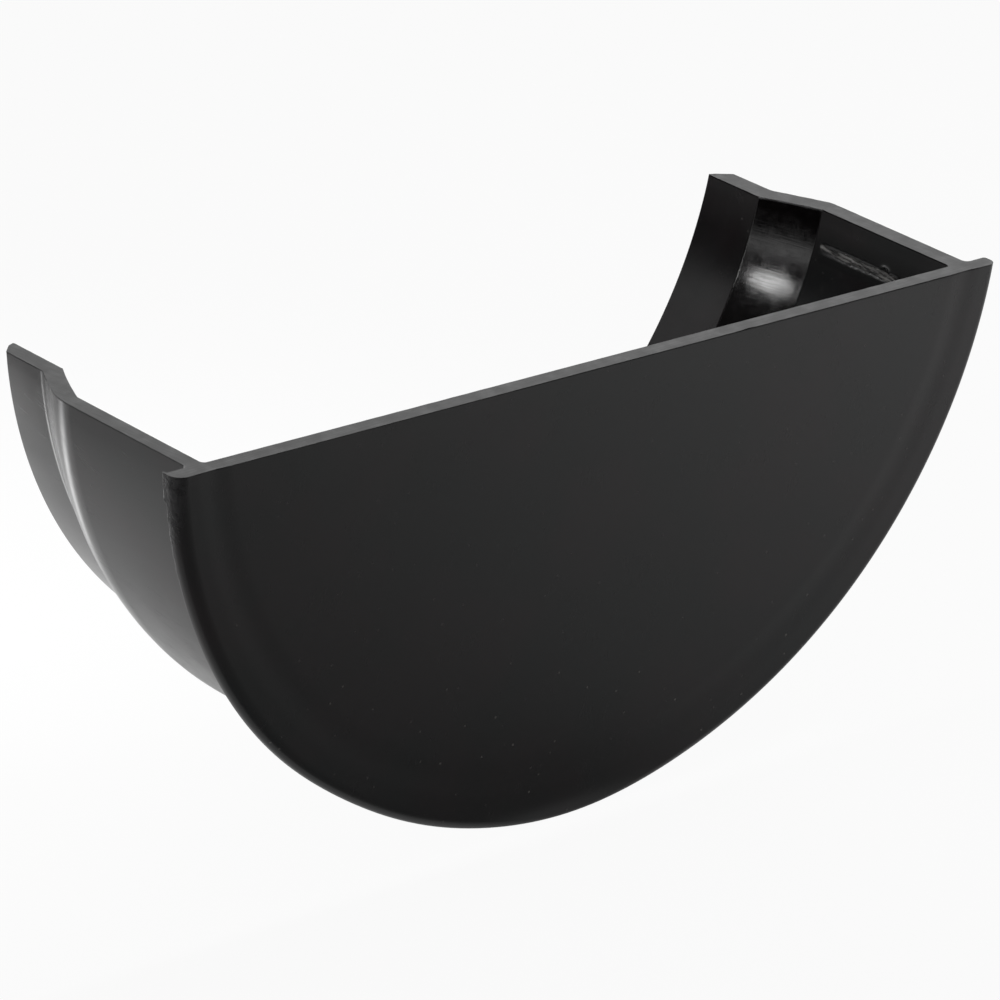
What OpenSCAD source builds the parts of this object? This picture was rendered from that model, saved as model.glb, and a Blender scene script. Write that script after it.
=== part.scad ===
// Gutter end cap: a stop end for a half-round PVC gutter, moulded in one piece.
// A flat plate closes the end. A collar stands behind it, flush with the gutter's outside,
// and joggles inwards to a short spigot that goes inside the gutter's end.
// X runs across the gutter, +Y points into the gutter, and +Z is up.
// The origin is at the middle of the level top edges, in the plane of the collar's shoulder,
// where the gutter's cut end stops.

/* [Collar] */
// Width of the collar across its outside at the top edges
collar_w = 112; // [100:1:130]
// Depth of the collar's outside from the top edges to its lowest point
collar_d = 48.8; // [42:0.2:50]
// Length of the collar behind the plate
collar_l = 20.4; // [10:0.2:40]
// Thickness of the collar's wall
collar_t = 2.1; // [1.5:0.1:3]

/* [End plate] */
// Thickness of the plate
plate_t = 2.0; // [1.8:0.1:4]
// Overhang of the plate beyond the collar's outside at each top corner
flange_w = 3.0; // [2:0.1:6]
// Overhang of the plate below the collar's lowest point
flange_d = 4.0; // [2.6:0.1:7]
// Rounding of the plate's front rim
rim_r = 1.5; // [0.3:0.1:1.6]
// Rounding of the plate's back rim, at the mould's parting line
parting_r = 0.2; // [0.05:0.05:0.2]
// Fillet between the plate's back and the inside of the collar
inner_fillet_r = 0.6; // [0.5:0.1:4]
// Fillet between the plate's back and the outside of the collar
outer_fillet_r = 0.7; // [0.2:0.1:1.5]

/* [Joggle] */
// Height of the step inwards on the outside of the wall
joggle_step = 3.3; // [1:0.1:4]
// Slope of the step, as an angle from the wall's straight run
joggle_slope = 27; // [20:1:35]
// Rounding of the shoulder where the collar ends
shoulder_r = 4.0; // [0.5:0.1:5]
// Rounding of the hollow where the spigot begins
root_r = 1.5; // [0.5:0.1:2]
// Distance by which the step on the inside starts before the shoulder
inner_joggle_lead = 0.15; // [0:0.05:1]
// Rounding of the step's two edges on the inside
inner_joggle_r = 0.8; // [0.2:0.1:2]

/* [Spigot] */
// Length of the spigot behind the joggle
spigot_l = 7.7; // [4:0.1:20]
// Thickness of the spigot's wall at the joggle
spigot_t = 2.3; // [2:0.1:3.5]
// Amount by which the spigot's outside narrows towards its nose, on the radius
spigot_draft = 0.05; // [0:0.05:0.4]
// Length of the bevel that leads the nose into the gutter
bevel_l = 1.15; // [0.4:0.05:1.6]
// Width of the nose's end face inside the bevel
nose_w = 0.9; // [0.5:0.1:1]
// Slope of the end face over its width, measured along the spigot
nose_slope = 0.35; // [0:0.05:0.4]
// Rounding of the nose's edges
nose_r = 0.3; // [0.05:0.05:0.35]

/* [Hidden] */
$fn = 180;

// Straight pieces that stand for one rounded corner of an outline
arc_steps = 6;
// Distance by which the trimming block runs past the part
overrun = 5;
// Ledge of the wall's foot beyond its fillets, inside the plate
foot_ledge = 0.2;

// Radius of a circle from a chord's width and the depth of the circle below the chord
function segment_r(width, depth) = (pow(width / 2, 2) + pow(depth, 2)) / (2 * depth);

// The plate and the wall are turned about level axes a little above the top edges
collar_r = segment_r(collar_w, collar_d);
wall_axis_z = collar_r - collar_d;
plate_d = collar_d + flange_d;
plate_r = segment_r(collar_w + 2 * flange_w, plate_d);
plate_axis_z = plate_r - plate_d;

// Radii of the wall's faces
collar_inner_r = collar_r - collar_t;
spigot_r = collar_r - joggle_step;
spigot_inner_r = spigot_r - spigot_t;
spigot_tip_r = spigot_r - spigot_draft;
foot_outer_r = collar_r + outer_fillet_r + foot_ledge;
foot_inner_r = collar_inner_r - inner_fillet_r - foot_ledge;

// Places along the gutter, measured from the shoulder
plate_back_y = -collar_l;
plate_front_y = plate_back_y - plate_t;
foot_y = plate_back_y - plate_t / 2;
shoulder_y = shoulder_r * tan(joggle_slope / 2);
root_y = shoulder_y + joggle_step / tan(joggle_slope);
inner_shoulder_y = -inner_joggle_lead;
inner_root_y = inner_shoulder_y + (collar_inner_r - spigot_inner_r) / tan(joggle_slope);
nose_y = root_y + spigot_l;
bevel_y = nose_y - nose_slope - bevel_l;

// Direction from one point of an outline to another
function direction(from, to) = (to - from) / norm(to - from);

// Points that round the corner at b, between its neighbours a and c, with radius r
function round_corner(a, b, c, r) =
    let (
        to_a = direction(b, a),
        to_c = direction(b, c),
        half_angle = acos(to_a * to_c) / 2,
        centre = b + direction([0, 0], to_a + to_c) * r / sin(half_angle),
        start = b + to_a * r / tan(half_angle) - centre,
        end = b + to_c * r / tan(half_angle) - centre,
        turn = atan2(start.x * end.y - start.y * end.x, start * end)
    )
    [
        for (i = [0:arc_steps])
            let (angle = turn * i / arc_steps)
            centre + [
                start.x * cos(angle) - start.y * sin(angle),
                start.x * sin(angle) + start.y * cos(angle)
            ]
    ];

// An outline from its corners, each given as a radius, a place along the axis and a rounding
function rounded(corners) =
    let (
        count = len(corners),
        points = [for (corner = corners) [corner[0], corner[1]]]
    )
    [
        for (i = [0:count - 1])
            let (
                before = points[(i + count - 1) % count],
                after = points[(i + 1) % count],
                r = corners[i][2]
            )
            each r > 0 ? round_corner(before, points[i], after, r) : [points[i]]
    ];

// Half section of the plate, from its axis out to the rim
plate_outline = rounded([
    [0, plate_front_y, 0],
    [plate_r, plate_front_y, rim_r],
    [plate_r, plate_back_y, parting_r],
    [0, plate_back_y, 0]
]);

// Section of the wall: out of the plate, along the outside to the nose, and back along the inside
wall_outline = rounded([
    [foot_outer_r, foot_y, 0],
    [foot_outer_r, plate_back_y, 0],
    [collar_r, plate_back_y, outer_fillet_r],
    [collar_r, shoulder_y, shoulder_r],
    [spigot_r, root_y, root_r],
    [spigot_tip_r, bevel_y, nose_r],
    [spigot_inner_r + nose_w, nose_y - nose_slope, nose_r],
    [spigot_inner_r, nose_y, nose_r],
    [spigot_inner_r, inner_root_y, inner_joggle_r],
    [collar_inner_r, inner_shoulder_y, inner_joggle_r],
    [collar_inner_r, plate_back_y, inner_fillet_r],
    [foot_inner_r, plate_back_y, 0],
    [foot_inner_r, foot_y, 0]
]);

// Turns an outline about a level axis along the gutter, at the given height
module turned(axis_z, outline) {
    translate([0, 0, axis_z])
        rotate([-90, 0, 0])
            rotate_extrude()
                polygon(outline);
}

// Everything above the level top edges, where the moulding is trimmed off
module above_top_edges() {
    block_w = 2 * plate_r + 2 * overrun;
    block_l = nose_y - plate_front_y + 2 * overrun;
    block_h = 2 * plate_r;
    translate([-block_w / 2, plate_front_y - overrun, 0])
        cube([block_w, block_l, block_h]);
}

// The whole moulding: the plate, with the collar, joggle and spigot in one wall behind it
module end_cap() {
    color([0.16, 0.16, 0.17])
        difference() {
            union() {
                turned(plate_axis_z, plate_outline);
                turned(wall_axis_z, wall_outline);
            }
            above_top_edges();
        }
}

end_cap();
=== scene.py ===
import math
import bmesh
import bpy
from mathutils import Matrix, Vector, kdtree


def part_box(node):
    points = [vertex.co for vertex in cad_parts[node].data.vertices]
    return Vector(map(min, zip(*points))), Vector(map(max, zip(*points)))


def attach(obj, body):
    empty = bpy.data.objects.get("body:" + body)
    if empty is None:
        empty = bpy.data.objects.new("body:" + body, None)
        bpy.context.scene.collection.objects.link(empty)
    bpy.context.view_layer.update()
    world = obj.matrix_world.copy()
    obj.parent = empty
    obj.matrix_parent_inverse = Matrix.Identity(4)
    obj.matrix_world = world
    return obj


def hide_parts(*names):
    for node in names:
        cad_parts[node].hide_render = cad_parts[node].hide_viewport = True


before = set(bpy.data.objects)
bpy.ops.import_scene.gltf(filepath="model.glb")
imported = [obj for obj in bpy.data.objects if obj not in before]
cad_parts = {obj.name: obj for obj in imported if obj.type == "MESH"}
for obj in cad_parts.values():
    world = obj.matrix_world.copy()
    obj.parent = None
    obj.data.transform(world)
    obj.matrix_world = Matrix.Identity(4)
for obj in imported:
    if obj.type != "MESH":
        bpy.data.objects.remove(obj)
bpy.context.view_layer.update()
node_low, node_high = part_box("end_cap")

# The wall: collar, joggle and spigot in one run.
# Rigid PVC, injected into a steel mould. The collar carries on the gutter's outside, the joggle
# brings the wall in by the gutter's thickness, and the spigot goes inside the gutter's end.
MM = 0.001
collar_w = 112.0 * MM
collar_d = 48.8 * MM
collar_t = 2.1 * MM
collar_l = 20.4 * MM
plate_t = 2.0 * MM
joggle_step = 3.3 * MM
joggle_slope = math.radians(27.0)
shoulder_r = 4.0 * MM
root_r = 1.5 * MM
inner_joggle_lead = 0.15 * MM
inner_joggle_r = 0.4 * MM
spigot_l = 7.7 * MM
spigot_t = 2.3 * MM
spigot_draft = 0.05 * MM
bevel_l = 1.15 * MM
nose_w = 0.9 * MM
nose_slope = 0.35 * MM
nose_r = 0.12 * MM
nose_gap = 0.1 * MM
inner_fillet_r = 0.6 * MM
outer_fillet_r = 0.7 * MM


def segment_r(width, depth):
    """Radius of a circle from a chord's width and the circle's depth below the chord."""
    return ((width / 2) ** 2 + depth**2) / (2 * depth)


# A point just outside each arc keeps the shading of the straight run beside it flat
guard = 0.05 * MM


def rounded_outline(corners, arc_steps=6):
    """Points of an open section, given as corners (radius, place along Y, rounding)."""
    points = [Vector(corners[0][:2])]
    for before, corner, after in zip(corners, corners[1:], corners[2:]):
        place, rounding = Vector(corner[:2]), corner[2]
        to_before = (Vector(before[:2]) - place).normalized()
        to_after = (Vector(after[:2]) - place).normalized()
        half_angle = to_before.angle(to_after) / 2
        centre = place + (to_before + to_after).normalized() * rounding / math.sin(half_angle)
        start = place + to_before * rounding / math.tan(half_angle) - centre
        end = place + to_after * rounding / math.tan(half_angle) - centre
        points.append(centre + start + to_before * guard)
        points += [
            centre + start.slerp(end, i / arc_steps) * rounding for i in range(arc_steps + 1)
        ]
        points.append(centre + end + to_after * guard)
    return points + [Vector(corners[-1][:2])]


# A turned piece starts a little above the level top, and the trim later cuts its first step.
# Its two ends have the closest steps, because the rim is uneven there.
end_turn = math.radians(14)
end_steps = 80
middle_steps = 110


def turned_piece(name, section, axis_z, start_angle, first_turn):
    """Draws a section by extruding a corner from point to point, and spins it round an axis."""
    bpy.ops.object.select_all(action="DESELECT")
    bpy.ops.mesh.primitive_plane_add(size=MM)
    piece = bpy.context.object
    piece.name = piece.data.name = name
    across = Vector((math.cos(start_angle), 0, -math.sin(start_angle)))
    places = [across * r + Vector((0, y, axis_z)) for r, y in section]
    bpy.ops.object.mode_set(mode="EDIT")
    bpy.ops.mesh.merge(type="CENTER")
    bpy.ops.transform.translate(value=places[0])
    for here, there in zip(places, places[1:]):
        bpy.ops.mesh.extrude_region_move(TRANSFORM_OT_translate={"value": there - here})
    bpy.ops.mesh.select_all(action="SELECT")
    middle_turn = math.pi - 2 * start_angle - 2 * first_turn - 2 * end_turn
    ends = ((1, first_turn), (end_steps, end_turn))
    for count, angle in (*ends, (middle_steps, middle_turn), *reversed(ends)):
        bpy.ops.mesh.spin(steps=count, angle=-angle, center=(0, 0, axis_z), axis=(0, 1, 0))
    bpy.ops.object.mode_set(mode="OBJECT")
    return piece


collar_r = segment_r(collar_w, collar_d)
wall_axis_z = collar_r - collar_d
collar_inner_r = collar_r - collar_t
spigot_r = collar_r - joggle_step
spigot_inner_r = spigot_r - spigot_t
spigot_tip_r = spigot_r - spigot_draft
plate_back_y = -collar_l
plate_front_y = plate_back_y - plate_t
shoulder_y = shoulder_r * math.tan(joggle_slope / 2)
root_y = shoulder_y + joggle_step / math.tan(joggle_slope)
inner_shoulder_y = -inner_joggle_lead
inner_root_y = inner_shoulder_y + (collar_inner_r - spigot_inner_r) / math.tan(joggle_slope)
nose_y = root_y + spigot_l - nose_gap

# The wall's fillets start a little out on the plate's back, so that they meet it face on
fillet_run = 0.1 * MM

# The joggle's inside is a little hollow between its two edges
hollow = 0.2 * MM
hollow_rounding = 60 * MM
hollow_r = (collar_inner_r + spigot_inner_r) / 2 + hollow * math.cos(joggle_slope)
hollow_y = (inner_shoulder_y + inner_root_y) / 2 + hollow * math.sin(joggle_slope)


def wall_outline(shoulder, root, shoulder_rounding, root_rounding):
    """Section of the wall, out of the plate, along the outside to the nose, and back inside."""
    return rounded_outline(
        [
            (collar_r + outer_fillet_r + fillet_run, plate_back_y, 0),
            (collar_r, plate_back_y, outer_fillet_r),
            (collar_r, shoulder, shoulder_rounding),
            (spigot_r, root, root_rounding),
            (spigot_tip_r, nose_y - nose_slope - bevel_l, nose_r),
            (spigot_inner_r + nose_w, nose_y - nose_slope, nose_r),
            (spigot_inner_r, nose_y, nose_r),
            (spigot_inner_r, inner_root_y, inner_joggle_r),
            (hollow_r, hollow_y, hollow_rounding),
            (collar_inner_r, inner_shoulder_y, inner_joggle_r),
            (collar_inner_r, plate_back_y, inner_fillet_r),
            (collar_inner_r - inner_fillet_r - fillet_run, plate_back_y, 0),
        ]
    )


wall_start = math.radians(7.2)
wall_first_turn = math.radians(2.7)
wall_section = wall_outline(shoulder_y, root_y, shoulder_r, root_r)
wall = turned_piece("wall", wall_section, wall_axis_z, wall_start, wall_first_turn)

# On the left the shoulder is softer: from near the middle outwards, each vertex goes from its
# point of the section to the same point of a softer one
soft_start = 12 * MM
soft_run = 36 * MM
soft_section = wall_outline(shoulder_y + 0.35 * MM, root_y - 0.1 * MM, 10.0 * MM, 1.8 * MM)
section_tree = kdtree.KDTree(len(wall_section))
for i, (r, y) in enumerate(wall_section):
    section_tree.insert((r, y, 0), i)
section_tree.balance()
for vert in wall.data.vertices:
    r = math.hypot(vert.co.x, vert.co.z - wall_axis_z)
    i = section_tree.find((r, vert.co.y, 0))[1]
    t = min(max((-vert.co.x - soft_start) / soft_run, 0), 1)
    share = t * t * (3 - 2 * t)
    new_r, new_y = wall_section[i].lerp(soft_section[i], share)
    out = Vector((vert.co.x, 0, vert.co.z - wall_axis_z)) / r
    vert.co = out * new_r + Vector((0, new_y, wall_axis_z))

# The end plate's rim and the shallow ring in its face.
# The plate is moulded with the wall. Its front rim is rounded, its back rim is the parting line,
# and the face sinks by a few hundredths where the thick joint with the collar shrank behind it.
rim_r = 1.5 * MM
parting_r = 0.2 * MM
rim_start = math.radians(5.5)
rim_first_turn = math.radians(2.2)
sink_depth = 0.09 * MM
sink_half_w = 2.5 * MM
sink_steps = 16

# A micrometre less deep, so that rounding errors stay inside the solid's box
plate_depth = -node_low.z - 0.001 * MM
plate_r = segment_r(2 * node_high.x, plate_depth)
plate_axis_z = plate_r - plate_depth

rim_section = rounded_outline(
    [
        (plate_r - rim_r - fillet_run, plate_front_y, 0),
        (plate_r, plate_front_y, rim_r),
        (plate_r, plate_back_y, parting_r),
        (plate_r - parting_r - fillet_run, plate_back_y, 0),
    ],
    arc_steps=10,
)
rim = turned_piece("rim", rim_section, plate_axis_z, rim_start, rim_first_turn)

sink_r = collar_inner_r + 0.2 * MM
sink_section = []
for i in range(sink_steps + 1):
    share = 1 - 2 * i / sink_steps
    depth = sink_depth * math.cos(share * math.pi / 2) ** 2
    sink_section.append(Vector((sink_r + share * sink_half_w, plate_front_y + depth)))
sink = turned_piece("sink", sink_section, wall_axis_z, wall_start, wall_first_turn)

# The moulding: wall, rim and face joined into one closed skin, then trimmed level at the top.
# The real piece comes out of the mould whole, and its top edges are the mould's flat shut-off.

# How close a point has to be to count as on a ring or on the level top
near = 0.001 * MM


def select_only(piece, mode, belongs):
    """Selects the vertices, edges or faces of a piece that pass a test of their place."""
    mesh = bmesh.from_edit_mesh(piece.data)
    for part in (*mesh.verts, *mesh.edges, *mesh.faces):
        part.select = False
    chosen = {"VERT": mesh.verts, "EDGE": mesh.edges, "FACE": mesh.faces}[mode]
    for part in chosen:
        part.select_set(belongs(part))
    mesh.select_flush_mode()
    bmesh.update_edit_mesh(piece.data)


def on_ring(axis_z, radius, y):
    """A test for the edges that run along one turned ring."""

    def belongs(edge):
        return all(
            abs(v.co.y - y) < near
            and abs(math.hypot(v.co.x, v.co.z - axis_z) - radius) < near
            for v in edge.verts
        )

    return belongs


bpy.ops.object.select_all(action="DESELECT")
for piece in (wall, rim, sink):
    piece.select_set(True)
bpy.context.view_layer.objects.active = wall
bpy.ops.object.join()
end_cap = wall
end_cap.name = end_cap.data.name = "end_cap_moulding"
bpy.ops.object.mode_set(mode="EDIT")
bpy.ops.mesh.select_mode(type="EDGE")

front_rim = on_ring(plate_axis_z, plate_r - rim_r - fillet_run, plate_front_y)
sink_outer = on_ring(wall_axis_z, sink_r + sink_half_w, plate_front_y)
select_only(end_cap, "EDGE", lambda e: front_rim(e) or sink_outer(e))
bpy.ops.mesh.bridge_edge_loops()

back_rim = on_ring(plate_axis_z, plate_r - parting_r - fillet_run, plate_back_y)
wall_foot = on_ring(wall_axis_z, collar_r + outer_fillet_r + fillet_run, plate_back_y)
select_only(end_cap, "EDGE", lambda e: back_rim(e) or wall_foot(e))
bpy.ops.mesh.bridge_edge_loops()

inner_foot_r = collar_inner_r - inner_fillet_r - fillet_run
for radius, y in ((sink_r - sink_half_w, plate_front_y), (inner_foot_r, plate_back_y)):
    select_only(end_cap, "EDGE", on_ring(wall_axis_z, radius, y))
    bpy.ops.mesh.edge_face_add()


def swell(place, middle, width):
    """A share that is one at a middle and falls away over a width."""
    return math.exp(-(((place - middle) / width) ** 2))


def ragged(place):
    """An uneven run of hills and hollows along a torn edge, from -1 to 1."""
    t = place / MM
    return 0.5 * math.sin(2.9 * t) + 0.3 * math.sin(7.3 * t + 1.3) + 0.2 * math.sin(17 * t + 0.4)


# The rim isn't even: crisper at the foot, fuller at the right end, rubbed off at the lower left,
# and at the left end a flash stands out behind it from the mould's parting line. The angles go
# round the rim in degrees from its foot, to the right.
crisp_foot = 0.9 * MM
crisp_right = 0.45 * MM
full_end = 0.15 * MM
flash_out = 0.42 * MM
flash_drop = 3.3 * MM
burr_out = 0.14 * MM
burr_drop = 12 * MM
rubbed_left = 0.3 * MM
proud_right = 0.14 * MM
skin = bmesh.from_edit_mesh(end_cap.data)
for vert in skin.verts:
    r = math.hypot(vert.co.x, vert.co.z - plate_axis_z)
    if vert.co.y > plate_back_y + guard or r < plate_r - rim_r - 1.5 * fillet_run:
        continue
    around = math.degrees(math.atan2(vert.co.x, plate_axis_z - vert.co.z))
    r_front, y_front = r - (plate_r - rim_r), vert.co.y - (plate_front_y + rim_r)
    r_back, y_back = r - (plate_r - parting_r), vert.co.y - (plate_back_y - parting_r)
    if r_front > -1.5 * guard and y_front < 1.5 * guard:
        crisp = crisp_foot * swell(around, 0, 14) + crisp_right * swell(around, 75, 28)
        r_front = crisp + (1 - crisp / rim_r) * r_front
        y_front = -crisp + (1 - crisp / rim_r) * y_front
    elif r_back > -1.5 * guard:
        full = full_end * swell(around, 86, 8)
        r_front = rim_r - parting_r - full + (1 + full / parting_r) * r_back
        y_front = plate_t - rim_r - parting_r - full + (1 + full / parting_r) * y_back
        drop = -vert.co.z
        if vert.co.x < 0 and y_back > -0.5 * guard:
            if drop < flash_drop:
                y_front += flash_out * (1 + 0.15 * ragged(1.7 * drop))
            elif drop < burr_drop:
                y_front += burr_out * max(0.3 + ragged(drop), 0)
    rubbed = rubbed_left * swell(around, -32, 11)
    rubbed -= proud_right * max(swell(around, 42, 24) - 0.06, 0)
    out = Vector((vert.co.x, 0, vert.co.z - plate_axis_z)).normalized()
    vert.co = out * (plate_r - rim_r + r_front - rubbed)
    vert.co += Vector((0, plate_front_y + rim_r + y_front, plate_axis_z))
bmesh.update_edit_mesh(end_cap.data)

# The trim, and a second cut just below that keeps the sides' shading clear of the worn edges
trim_threshold = 0.0001 * MM
worn_band = 0.24 * MM
bpy.ops.mesh.select_all(action="SELECT")
bpy.ops.mesh.bisect(
    plane_co=(0, 0, 0),
    plane_no=(0, 0, 1),
    use_fill=True,
    clear_outer=True,
    threshold=trim_threshold,
)
bpy.ops.mesh.select_all(action="SELECT")
bpy.ops.mesh.bisect(
    plane_co=(0, 0, -worn_band), plane_no=(0, 0, 1), threshold=trim_threshold
)
bpy.ops.mesh.select_all(action="SELECT")
bpy.ops.mesh.remove_doubles(threshold=0.0005 * MM)
bpy.ops.mesh.normals_make_consistent(inside=False)


def long_top_edge(along, shortest):
    """A test for the longer edges at the level top that run along one axis."""

    def belongs(edge):
        here, there = (v.co for v in edge.verts)
        level = abs(here.z) < near and abs(there.z) < near
        return level and abs(here[along] - there[along]) > shortest

    return belongs


# The flash was pared off the top edges by hand, so they waver a little
select_only(end_cap, "EDGE", long_top_edge(0, 20 * MM))
bpy.ops.mesh.subdivide(number_cuts=99)
select_only(end_cap, "EDGE", long_top_edge(1, 3 * MM))
bpy.ops.mesh.subdivide(number_cuts=29)

# The gate's mark needs a close mesh
gate_y, gate_z = -7.5 * MM, -4.15 * MM
gate_top_z, gate_foot_z = -2.2 * MM, -7 * MM


def in_gate_strip(edge):
    """Whether an edge runs along the right collar's inside, beside the mark of the gate."""
    here, there = (v.co for v in edge.verts)
    inside = all(
        abs(math.hypot(c.x, c.z - wall_axis_z) - collar_inner_r) < near for c in (here, there)
    )
    beside = here.x > 0 and gate_foot_z < here.z < gate_top_z
    return inside and beside and abs(here.y - there.y) > 9 * MM


select_only(end_cap, "EDGE", in_gate_strip)
bpy.ops.mesh.subdivide(number_cuts=79)


def wall_middle_r(y):
    """Radius of the middle of the wall's thickness at a place along the gutter."""
    collar_middle_r = collar_r - collar_t / 2
    spigot_middle_r = spigot_r - spigot_t / 2
    share = min(max((y - inner_shoulder_y) / (inner_root_y - inner_shoulder_y), 0), 1)
    return collar_middle_r + share * (spigot_middle_r - collar_middle_r)


def on_inside(vert):
    """Whether a vertex belongs to the moulding's inside, which the mould's core shapes."""
    r = math.hypot(vert.co.x, vert.co.z - wall_axis_z)
    return vert.co.y > plate_back_y - near and r < wall_middle_r(vert.co.y)


# The mould's core sits a little to the left, so the right wall is the thicker one
core_shift = 0.25 * MM
core_shrink = 1 - 0.1 / 54
bpy.ops.mesh.select_mode(type="VERT")
select_only(end_cap, "VERT", on_inside)
bpy.ops.transform.translate(value=(-core_shift, 0, 0))
bpy.ops.transform.resize(value=(core_shrink, 1, 1), center_override=(0, 0, 0))
bpy.ops.object.mode_set(mode="OBJECT")

# The gate was broken off the right collar's inside, and left a torn strip with a pit at its end
gate_half_l = 6.3 * MM
gate_half_h = 0.52 * MM
pit_y, pit_rise = -11.2 * MM, 0.6 * MM
pit_depth, pit_half_l, pit_half_h = 0.3 * MM, 0.45 * MM, 0.3 * MM
for vert in end_cap.data.vertices:
    y, rise = vert.co.y, vert.co.z - gate_z
    r = math.hypot(vert.co.x / core_shrink + core_shift, vert.co.z - wall_axis_z)
    if vert.co.x < 0 or abs(r - collar_inner_r) > 0.01 * MM or vert.co.z > gate_top_z:
        continue
    half_h = gate_half_h + 0.12 * MM * ragged(2.1 * y)
    across = max(0, 1 - (abs(rise) / half_h) ** 4)
    along = max(0, 1 - abs((y - gate_y) / gate_half_l) ** 6)
    torn = 0.13 * max(rise, 0) + 0.09 * MM + 0.07 * MM * ragged(3.1 * y + 1.9 * vert.co.z)
    pit = pit_depth * swell(y, pit_y, pit_half_l) * swell(rise, pit_rise, pit_half_h)
    vert.co.x -= torn * across * along - pit

# The plate's top edge wavers by hundredths and has a nick, and the right joggle's is burred
nick_x, nick_half_w, nick_depth = 20.5 * MM, 0.7 * MM, 0.16 * MM
for vert in end_cap.data.vertices:
    x, y = vert.co.x, vert.co.y
    if abs(vert.co.z) > near or abs(x) > 57 * MM:
        continue
    if abs(y - plate_front_y) < 0.2 * MM:
        vert.co.y += 0.018 * MM * (1 + ragged(0.8 * x))
        vert.co.y += nick_depth * swell(x, nick_x, nick_half_w)
    elif abs(y - plate_back_y) < 0.01 * MM:
        vert.co.y += 0.02 * MM * ragged(0.6 * x + 2 * MM)
    elif y > plate_back_y + 1.5 * MM:
        burr = 0.06 if x > 0 and -1 * MM < y < 6 * MM else 0.02
        vert.co.x += burr * MM * ragged(1.1 * y + 0.3 * x)

# The corners of the top edges are a little worn
edge_round = 0.1 * MM
smooth_below = math.radians(32)
weights = end_cap.data.attributes.new("bevel_weight_edge", "FLOAT", "EDGE")
for edge in end_cap.data.edges:
    if all(abs(end_cap.data.vertices[i].co.z) < near for i in edge.vertices):
        weights.data[edge.index].value = 1.0
edge_wear = end_cap.modifiers.new("edge_wear", "BEVEL")
edge_wear.limit_method = "WEIGHT"
edge_wear.width = edge_round
edge_wear.segments = 3
bpy.ops.object.modifier_apply(modifier=edge_wear.name)
bpy.ops.object.shade_smooth_by_angle(angle=smooth_below)
bpy.ops.object.mode_set(mode="EDIT")
bpy.ops.mesh.select_mode(type="FACE")
select_only(end_cap, "FACE", lambda f: f.normal.z > 0.999 and f.verts[0].co.z > -near)
bpy.ops.mesh.faces_shade_flat()
bpy.ops.object.mode_set(mode="OBJECT")
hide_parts("end_cap")
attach(end_cap, "root")

# The plastic: rigid PVC, black through and through, moulded with a satin finish.
# The mould's fine blast leaves a soft sheen that wavers a little where the melt flowed, and
# handling has left dust, fine rubs and a scuffed end on the rim.


def linear(hex_colour):
    """Turns an sRGB hex value to linear colour."""
    channels = [int(hex_colour[i : i + 2], 16) / 255 for i in (1, 3, 5)]
    return [c / 12.92 if c <= 0.04045 else ((c + 0.055) / 1.055) ** 2.4 for c in channels] + [1]


def add_node(material, kind, sockets, **settings):
    """Adds a node, and gives its sockets values, or links from nodes or from their outputs."""
    node = material.node_tree.nodes.new(kind)
    for name, value in settings.items():
        setattr(node, name, value)
    for name, value in sockets.items():
        in_use = [s for s in node.inputs if s.enabled and s.name == name]
        socket = in_use[0] if in_use else node.inputs[name]
        if isinstance(value, bpy.types.Node):
            value = next(output for output in value.outputs if output.enabled)
        if isinstance(value, bpy.types.NodeSocket):
            material.node_tree.links.new(value, socket)
        else:
            socket.default_value = value
    return node


def new_material(name):
    """An empty node material and its Object coordinates."""
    material = bpy.data.materials.new(name)
    material.use_nodes = True
    material.node_tree.nodes.clear()
    return material, add_node(material, "ShaderNodeTexCoord", {}).outputs["Object"]


pvc_ior = 1.53
moulded, place = new_material("rigid PVC, moulded satin")
axes = add_node(moulded, "ShaderNodeSeparateXYZ", {"Vector": place})

# The melt's flow shows as a faint cloud of tint and sheen
cloud = add_node(
    moulded,
    "ShaderNodeTexNoise",
    {"Vector": place, "Scale": 1 / (14 * MM), "Detail": 3.0, "Roughness": 0.55},
)
cloud_share = add_node(
    moulded, "ShaderNodeMapRange", {"Value": cloud, "From Min": 0.42, "From Max": 0.6}
)
tint = add_node(
    moulded,
    "ShaderNodeMix",
    {"Factor": cloud_share, "A": linear("#0d1011"), "B": linear("#1b1316")},
    data_type="RGBA",
)
patches = add_node(
    moulded,
    "ShaderNodeTexNoise",
    {"Vector": place, "Scale": 1 / (6 * MM), "Detail": 4.0, "Roughness": 0.6},
)
satin = add_node(
    moulded,
    "ShaderNodeMapRange",
    {"Value": patches, "From Min": 0.35, "From Max": 0.65, "To Min": 0.18, "To Max": 0.24},
)

# The mould's blast is finer than 0.1 mm, and is drawn at 0.35 mm so that it shows
grain = add_node(
    moulded,
    "ShaderNodeTexNoise",
    {"Vector": place, "Scale": 1 / (0.35 * MM), "Detail": 2.0, "Roughness": 0.5},
)
grain_bump = add_node(
    moulded, "ShaderNodeBump", {"Height": grain, "Strength": 0.35, "Distance": 0.004 * MM}
)

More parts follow.
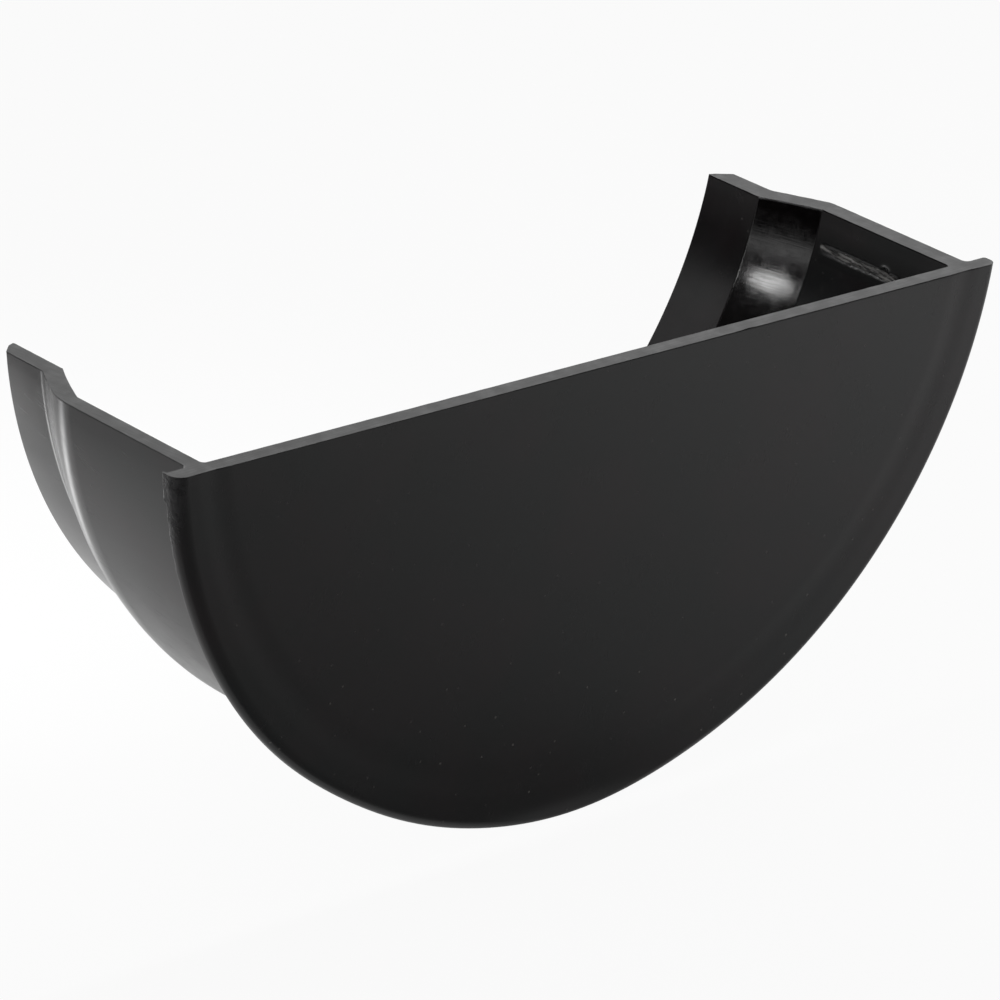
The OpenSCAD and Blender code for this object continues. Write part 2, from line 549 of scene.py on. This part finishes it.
# Rubs from handling: fine strokes across the rim and the collar, in some patches only
stroke_place = add_node(
    moulded,
    "ShaderNodeMapping",
    {"Vector": place, "Rotation": (0.5, 0.35, 0.2), "Scale": (0.18 * MM, 5 * MM, 2.4 * MM)},
    vector_type="TEXTURE",
)
strokes = add_node(
    moulded,
    "ShaderNodeTexNoise",
    {"Vector": stroke_place, "Scale": 1.0, "Detail": 3.0, "Roughness": 0.5},
)
stroke_share = add_node(
    moulded, "ShaderNodeMapRange", {"Value": strokes, "From Min": 0.56, "From Max": 0.7}
)
rubbed_patches = add_node(
    moulded, "ShaderNodeMapRange", {"Value": patches, "From Min": 0.46, "From Max": 0.6}
)
rubs = add_node(
    moulded, "ShaderNodeMath", {0: stroke_share, 1: rubbed_patches}, operation="MULTIPLY"
)
faint_rubs = add_node(moulded, "ShaderNodeMath", {0: rubs, 1: 0.3}, operation="MULTIPLY")
rubbed_tint = add_node(
    moulded,
    "ShaderNodeMix",
    {"Factor": faint_rubs, "A": tint, "B": linear("#2c2a2b")},
    data_type="RGBA",
)
rubbed_satin = add_node(
    moulded, "ShaderNodeMix", {"Factor": rubs, "A": satin, "B": 0.3}, data_type="FLOAT"
)

# The left end of the rim is scuffed down to a torn, paler skin
at_left_end = add_node(
    moulded,
    "ShaderNodeMapRange",
    {"Value": axes.outputs["X"], "From Min": -57.2 * MM, "From Max": -58.3 * MM},
)
on_rim = add_node(
    moulded,
    "ShaderNodeMapRange",
    {"Value": axes.outputs["Y"], "From Min": -19.4 * MM, "From Max": -19.9 * MM},
)
on_left_rim = add_node(
    moulded, "ShaderNodeMath", {0: at_left_end, 1: on_rim}, operation="MULTIPLY"
)
scuff_clods = add_node(
    moulded,
    "ShaderNodeTexNoise",
    {"Vector": place, "Scale": 1 / (0.9 * MM), "Detail": 4.0, "Roughness": 0.7},
)
scuff_share = add_node(
    moulded,
    "ShaderNodeMapRange",
    {"Value": scuff_clods, "From Min": 0.42, "From Max": 0.6, "To Min": 0.2, "To Max": 1.0},
)
scuffs = add_node(
    moulded, "ShaderNodeMath", {0: on_left_rim, 1: scuff_share}, operation="MULTIPLY"
)
scuffed_tint = add_node(
    moulded,
    "ShaderNodeMix",
    {"Factor": scuffs, "A": rubbed_tint, "B": linear("#2b2a2c")},
    data_type="RGBA",
)
scuff_bump = add_node(
    moulded,
    "ShaderNodeBump",
    {"Height": scuffs, "Normal": grain_bump, "Strength": 0.8, "Distance": 0.08 * MM},
)

# Pale dust: specks a few tenths of a millimetre across, most of them low down
dust = add_node(moulded, "ShaderNodeTexVoronoi", {"Vector": place, "Scale": 1 / (1.5 * MM)})
dust_pick = add_node(moulded, "ShaderNodeSeparateColor", {"Color": dust.outputs["Color"]})
dust_near = add_node(
    moulded,
    "ShaderNodeMapRange",
    {
        "Value": dust.outputs["Distance"],
        "From Min": 0.03,
        "From Max": 0.13,
        "To Min": 1.0,
        "To Max": 0.0,
    },
)
dust_kept = add_node(
    moulded,
    "ShaderNodeMapRange",
    {"Value": dust_pick.outputs["Red"], "From Min": 0.55, "From Max": 0.8},
)
dust_low = add_node(
    moulded,
    "ShaderNodeMapRange",
    {
        "Value": axes.outputs["Z"],
        "From Min": -24 * MM,
        "From Max": -38 * MM,
        "To Min": 0.25,
        "To Max": 1.0,
    },
)
all_specks = add_node(
    moulded, "ShaderNodeMath", {0: dust_near, 1: dust_kept}, operation="MULTIPLY"
)
specks = add_node(
    moulded, "ShaderNodeMath", {0: all_specks, 1: dust_low}, operation="MULTIPLY"
)
dusty_tint = add_node(
    moulded,
    "ShaderNodeMix",
    {"Factor": specks, "A": scuffed_tint, "B": linear("#7d7a76")},
    data_type="RGBA",
)
dull_share = add_node(moulded, "ShaderNodeMath", {0: scuffs, 1: specks}, operation="MAXIMUM")
sheen = add_node(
    moulded, "ShaderNodeMix", {"Factor": dull_share, "A": rubbed_satin, "B": 0.5}, data_type="FLOAT"
)
surface = add_node(
    moulded,
    "ShaderNodeBsdfPrincipled",
    {"Base Color": dusty_tint, "Roughness": sheen, "Normal": scuff_bump, "IOR": pvc_ior},
)
add_node(moulded, "ShaderNodeOutputMaterial", {"Surface": surface})
end_cap.data.materials.append(moulded)

# The top edges: the same PVC where the mould shuts off, pared of its flash with a blade.
# They are duller, with fine drag marks along the plate and along the wall, and paler blotches.


def give_material(piece, material, belongs):
    """Gives a piece's faces that pass a test of their place a material of their own."""
    bpy.ops.object.select_all(action="DESELECT")
    piece.select_set(True)
    bpy.context.view_layer.objects.active = piece
    piece.data.materials.append(material)
    piece.active_material_index = len(piece.data.materials) - 1
    bpy.ops.object.mode_set(mode="EDIT")
    bpy.ops.mesh.select_mode(type="FACE")
    select_only(piece, "FACE", belongs)
    bpy.ops.object.material_slot_assign()
    bpy.ops.object.mode_set(mode="OBJECT")


shut_off, place = new_material("rigid PVC, shut-off edge")
shut_axes = add_node(shut_off, "ShaderNodeSeparateXYZ", {"Vector": place})
on_wall = add_node(
    shut_off,
    "ShaderNodeMapRange",
    {"Value": shut_axes.outputs["Y"], "From Min": -20 * MM, "From Max": -19 * MM},
)
drag_marks = []
for turn, size in (
    (math.radians(3), (9 * MM, 0.24 * MM, 1 * MM)),
    (math.radians(8), (0.26 * MM, 4 * MM, 1 * MM)),
):
    drag_place = add_node(
        shut_off,
        "ShaderNodeMapping",
        {"Vector": place, "Rotation": (0, 0, turn), "Scale": size},
        vector_type="TEXTURE",
    )
    drag_marks.append(
        add_node(
            shut_off,
            "ShaderNodeTexNoise",
            {"Vector": drag_place, "Scale": 1.0, "Detail": 3.0, "Roughness": 0.6},
        )
    )
plate_drag, wall_drag = drag_marks
drag = add_node(
    shut_off,
    "ShaderNodeMix",
    {"Factor": on_wall, "A": plate_drag, "B": wall_drag},
    data_type="FLOAT",
)
drag_share = add_node(
    shut_off, "ShaderNodeMapRange", {"Value": drag, "From Min": 0.38, "From Max": 0.66}
)
drag_tint = add_node(
    shut_off,
    "ShaderNodeMix",
    {"Factor": drag_share, "A": linear("#0d0d0e"), "B": linear("#2c2c2e")},
    data_type="RGBA",
)
blotches = add_node(
    shut_off,
    "ShaderNodeTexNoise",
    {"Vector": place, "Scale": 1 / (2.2 * MM), "Detail": 4.0, "Roughness": 0.65},
)
pale_share = add_node(
    shut_off,
    "ShaderNodeMapRange",
    {"Value": blotches, "From Min": 0.5, "From Max": 0.68, "To Min": 0.0, "To Max": 0.8},
)
blotched_tint = add_node(
    shut_off,
    "ShaderNodeMix",
    {"Factor": pale_share, "A": drag_tint, "B": linear("#3c3b3c")},
    data_type="RGBA",
)
dull_sheen = add_node(
    shut_off,
    "ShaderNodeMapRange",
    {"Value": blotches, "From Min": 0.35, "From Max": 0.65, "To Min": 0.36, "To Max": 0.46},
)
drag_bump = add_node(
    shut_off, "ShaderNodeBump", {"Height": drag, "Strength": 0.9, "Distance": 0.012 * MM}
)
surface = add_node(
    shut_off,
    "ShaderNodeBsdfPrincipled",
    {"Base Color": blotched_tint, "Roughness": dull_sheen, "Normal": drag_bump, "IOR": pvc_ior},
)
add_node(shut_off, "ShaderNodeOutputMaterial", {"Surface": surface})
give_material(end_cap, shut_off, lambda f: f.normal.z > 0.7 and f.verts[0].co.z > -worn_band)

# The joggle's inside: the mould's core is polished there, so the same PVC is glossier.
# It mirrors the room in a bright spot, under a mottled haze and fine scratches round the bend.
joggle_gloss, place = new_material("rigid PVC, polished joggle")
haze = add_node(
    joggle_gloss,
    "ShaderNodeTexNoise",
    {"Vector": place, "Scale": 1 / (1.3 * MM), "Detail": 6.0, "Roughness": 0.7},
)
haze_tint = add_node(
    joggle_gloss,
    "ShaderNodeMix",
    {"Factor": haze, "A": linear("#0d0b0c"), "B": linear("#1a1516")},
    data_type="RGBA",
)
haze_gloss = add_node(
    joggle_gloss,
    "ShaderNodeMapRange",
    {"Value": haze, "From Min": 0.35, "From Max": 0.65, "To Min": 0.06, "To Max": 0.13},
)
scratch_place = add_node(
    joggle_gloss,
    "ShaderNodeMapping",
    {"Vector": place, "Rotation": (0, math.radians(12), 0), "Scale": (4 * MM, 4 * MM, 0.1 * MM)},
    vector_type="TEXTURE",
)
scratches = add_node(
    joggle_gloss,
    "ShaderNodeTexNoise",
    {"Vector": scratch_place, "Scale": 1.0, "Detail": 2.0, "Roughness": 0.5},
)
scratch_bump = add_node(
    joggle_gloss, "ShaderNodeBump", {"Height": scratches, "Strength": 0.5, "Distance": 0.004 * MM}
)
surface = add_node(
    joggle_gloss,
    "ShaderNodeBsdfPrincipled",
    {"Base Color": haze_tint, "Roughness": haze_gloss, "Normal": scratch_bump, "IOR": pvc_ior},
)
add_node(joggle_gloss, "ShaderNodeOutputMaterial", {"Surface": surface})


def on_inner_joggle(face):
    """Whether a face belongs to the slope of the joggle on the inside."""
    middle = face.calc_center_median()
    r = math.hypot(middle.x + core_shift, middle.z - wall_axis_z)
    between = inner_shoulder_y + 0.1 * MM < middle.y < inner_root_y - 0.1 * MM
    return between and r < wall_middle_r(middle.y) and middle.z < -worn_band


give_material(end_cap, joggle_gloss, on_inner_joggle)

# The gate's mark: the PVC tore there when the runner was broken off after moulding.
# So it is paler, dull and rough, and its torn skin runs out in a ragged edge on the smooth wall.
gate_mark, place = new_material("rigid PVC, torn at the gate")
tear_place = add_node(
    gate_mark,
    "ShaderNodeMapping",
    {"Vector": place, "Rotation": (math.radians(5), 0, 0), "Scale": (1 * MM, 2.4 * MM, 0.35 * MM)},
    vector_type="TEXTURE",
)
tear = add_node(
    gate_mark,
    "ShaderNodeTexNoise",
    {"Vector": tear_place, "Scale": 1.0, "Detail": 4.0, "Roughness": 0.65},
)
gate_axes = add_node(gate_mark, "ShaderNodeSeparateXYZ", {"Vector": place})

# The mark fades out at its foot, its top, its end by the plate and its end by the joggle
gate_field = None
for axis, full, gone, left in (
    ("Z", gate_z - 0.15 * MM, gate_z - 0.65 * MM, 0.0),
    ("Z", gate_z + 0.35 * MM, gate_z + 0.62 * MM, 0.0),
    ("Y", -12.8 * MM, -14.2 * MM, 0.0),
    ("Y", -6.0 * MM, -0.8 * MM, 0.45),
):
    fade = add_node(
        gate_mark,
        "ShaderNodeMapRange",
        {
            "Value": gate_axes.outputs[axis],
            "From Min": full,
            "From Max": gone,
            "To Min": 1.0,
            "To Max": left,
        },
    )
    if gate_field:
        fade = add_node(gate_mark, "ShaderNodeMath", {0: gate_field, 1: fade}, operation="MULTIPLY")
    gate_field = fade
torn_field = add_node(
    gate_mark, "ShaderNodeMath", {0: tear, 1: 1.9, 2: gate_field}, operation="MULTIPLY_ADD"
)
torn_share = add_node(
    gate_mark, "ShaderNodeMapRange", {"Value": torn_field, "From Min": 1.4, "From Max": 1.75}
)
streak_share = add_node(
    gate_mark, "ShaderNodeMapRange", {"Value": tear, "From Min": 0.42, "From Max": 0.62}
)
torn_skin = add_node(
    gate_mark,
    "ShaderNodeMix",
    {"Factor": streak_share, "A": linear("#2a2929"), "B": linear("#c4c2bf")},
    data_type="RGBA",
)
mark_tint = add_node(
    gate_mark,
    "ShaderNodeMix",
    {"Factor": torn_share, "A": linear("#101011"), "B": torn_skin},
    data_type="RGBA",
)
mark_sheen = add_node(
    gate_mark, "ShaderNodeMapRange", {"Value": torn_share, "To Min": 0.2, "To Max": 0.55}
)
tear_bump = add_node(
    gate_mark, "ShaderNodeBump", {"Height": torn_share, "Strength": 0.8, "Distance": 0.1 * MM}
)
surface = add_node(
    gate_mark,
    "ShaderNodeBsdfPrincipled",
    {"Base Color": mark_tint, "Roughness": mark_sheen, "Normal": tear_bump, "IOR": pvc_ior},
)
add_node(gate_mark, "ShaderNodeOutputMaterial", {"Surface": surface})


def near_gate(face):
    """Whether a face belongs to the stretch of the right collar's inside round the gate."""
    middle = face.calc_center_median()
    r = math.hypot(middle.x + core_shift, middle.z - wall_axis_z)
    beside = -14.5 * MM < middle.y < -0.9 * MM and abs(middle.z - gate_z) < 1.5 * MM
    return beside and middle.x > 0 and abs(r - collar_inner_r) < 0.6 * MM


give_material(end_cap, gate_mark, near_gate)

# The floor: a plain white sheet, wide enough to fill the view.
# Painted light: the sheet glows by itself in a soft patch that fades from left of the part and ends
# under the end plate, so that the walls mirror a bright floor and the face a dark one.
floor_half_w = 3.0
bpy.ops.object.select_all(action="DESELECT")
bpy.ops.mesh.primitive_plane_add(size=2 * floor_half_w, location=(0, 0, node_low.z))
floor = bpy.context.object
floor.name = "floor"
floor_paint, place = new_material("white sheet with painted glow")
floor_axes = add_node(floor_paint, "ShaderNodeSeparateXYZ", {"Vector": place})
# Painted light: an emission patch in the floor, brightest left of and under the part, gone in front
# of the plate
painted_glow_edge = add_node(
    floor_paint,
    "ShaderNodeMapRange",
    {"Value": floor_axes.outputs["Y"], "From Min": -0.028, "From Max": 0.055, "To Max": 0.78},
    interpolation_type="SMOOTHSTEP",
)
painted_glow_under_part = add_node(
    floor_paint,
    "ShaderNodeMapRange",
    {"Value": floor_axes.outputs["Y"], "From Min": -0.0265, "From Max": -0.0235, "To Max": 0.4},
    interpolation_type="SMOOTHSTEP",
)
painted_glow_band = add_node(
    floor_paint, "ShaderNodeMath", {0: painted_glow_edge, 1: painted_glow_under_part}, operation="MAXIMUM"
)
painted_glow_place = add_node(
    floor_paint, "ShaderNodeMapping", {"Vector": place, "Location": (0.03, -0.04, 0)}
)
painted_glow_distance = add_node(
    floor_paint, "ShaderNodeVectorMath", {0: painted_glow_place}, operation="LENGTH"
)
painted_glow_fade = add_node(
    floor_paint,
    "ShaderNodeMapRange",
    {"Value": painted_glow_distance, "From Max": 0.14, "To Min": 1.0, "To Max": 0.0},
    interpolation_type="SMOOTHSTEP",
)
painted_glow_share = add_node(
    floor_paint, "ShaderNodeMath", {0: painted_glow_band, 1: painted_glow_fade}, operation="MULTIPLY"
)

# A painted glowing strip in the sheet, no lamp, lies behind left of the part; the left shoulder
# mirrors it in streaks
painted_strip_place = add_node(
    floor_paint,
    "ShaderNodeMapping",
    {
        "Vector": place,
        "Location": (-0.065, 0.076, 0),
        "Rotation": (0, 0, math.radians(142)),
        "Scale": (0.058, 0.0115, 1),
    },
    vector_type="TEXTURE",
)
painted_strip_distance = add_node(
    floor_paint, "ShaderNodeVectorMath", {0: painted_strip_place}, operation="LENGTH"
)
painted_strip_share = add_node(
    floor_paint,
    "ShaderNodeMapRange",
    {"Value": painted_strip_distance, "To Min": 4.5, "To Max": 0.0},
    interpolation_type="SMOOTHSTEP",
)
# The painted glow of the patch and the strip is added to the sheet as emission
glow = add_node(floor_paint, "ShaderNodeMath", {0: painted_glow_share, 1: painted_strip_share}, operation="ADD")
painted_glow_emission = add_node(
    floor_paint, "ShaderNodeEmission", {"Color": (1, 1, 1, 1), "Strength": glow}
)
sheet = add_node(floor_paint, "ShaderNodeBsdfDiffuse", {"Color": linear("#f2f2f2")})
sheet_with_painted_glow = add_node(floor_paint, "ShaderNodeAddShader", {0: sheet, 1: painted_glow_emission})

# Seen straight the sheet is white, and reflections and glass get a share of that white too
white_straight = 0.94
white_mirrored = 0.03
ray = add_node(floor_paint, "ShaderNodeLightPath", {})
mirrored = add_node(
    floor_paint,
    "ShaderNodeMath",
    {0: ray.outputs["Is Glossy Ray"], 1: ray.outputs["Is Transmission Ray"]},
    operation="ADD",
)
mirrored_share = add_node(
    floor_paint, "ShaderNodeMath", {0: mirrored, 1: white_mirrored}, operation="MULTIPLY"
)
white_share = add_node(
    floor_paint,
    "ShaderNodeMath",
    {0: ray.outputs["Is Camera Ray"], 1: white_straight, 2: mirrored_share},
    operation="MULTIPLY_ADD",
)
white = add_node(floor_paint, "ShaderNodeEmission", {"Color": (1, 1, 1, 1), "Strength": 1.0})
sheet_or_white = add_node(
    floor_paint, "ShaderNodeMixShader", {0: white_share, 1: sheet_with_painted_glow, 2: white}
)
add_node(floor_paint, "ShaderNodeOutputMaterial", {"Surface": sheet_or_white})
floor.data.materials.append(floor_paint)

# The light: soft boxes round the part, and a dim room.
# Two narrow ones light the floor alone, two stand behind the part for its top edges, and on the
# left an oval lamp over a pale board makes the spot on the joggle and the band above it.


def soft_box(name, place, aim, width, height, brightness, spread=180, shape="RECTANGLE"):
    """A flat lamp, aimed at a point; its brightness is what a mirror would show."""
    bpy.ops.object.light_add(type="AREA", location=place)
    lamp = bpy.context.object
    lamp.name = name
    lamp.rotation_euler = (Vector(aim) - Vector(place)).to_track_quat("-Z", "Y").to_euler()
    lamp.data.shape = shape
    lamp.data.size = width
    lamp.data.size_y = height
    lamp.data.energy = 4 * brightness * width * height
    lamp.data.spread = math.radians(spread)


middle = (0, -0.003, -0.02)
soft_box("floor_light", (-0.05, 0.19, 0.50), (-0.05, 0.17, -0.053), 0.36, 0.28, 0.2, 62)
soft_box("right_floor_light", (0.24, -0.12, 0.40), (0.22, -0.12, -0.053), 0.2, 0.2, 1.25, 60)
soft_box("right_panel", (0.70, 0.73, 0.42), middle, 0.95, 0.62, 1.12)
soft_box("left_panel", (-0.75, 0.75, 0.40), middle, 0.5, 0.45, 0.42)
soft_box("side_strip", (-0.427, -0.107, 0.088), middle, 0.076, 0.025, 9.5, shape="ELLIPSE")
soft_box("left_board", (-0.428, -0.106, -0.004), middle, 0.3, 0.094, 1.15)

world = bpy.data.worlds.new("dim_room")
bpy.context.scene.world = world
world.use_nodes = True
world.node_tree.nodes["Background"].inputs["Color"].default_value = (1, 1, 1, 1)
world.node_tree.nodes["Background"].inputs["Strength"].default_value = 0.055

# The camera: in front of the plate, to its left and above it, with a long lens.
# Its place, turn and lens were fitted to the photo's edges, with the picture a square.
bpy.ops.object.camera_add(location=(-0.4532, -0.4812, 0.2561))
camera = bpy.context.object
camera.rotation_euler = [math.radians(a) for a in (67.015, -4.474, -41.838)]
camera.data.sensor_width = 36.0
camera.data.lens = 236.49
camera.data.clip_start = 0.01
bpy.context.scene.camera = camera
bpy.context.scene.view_settings.view_transform = "Standard"
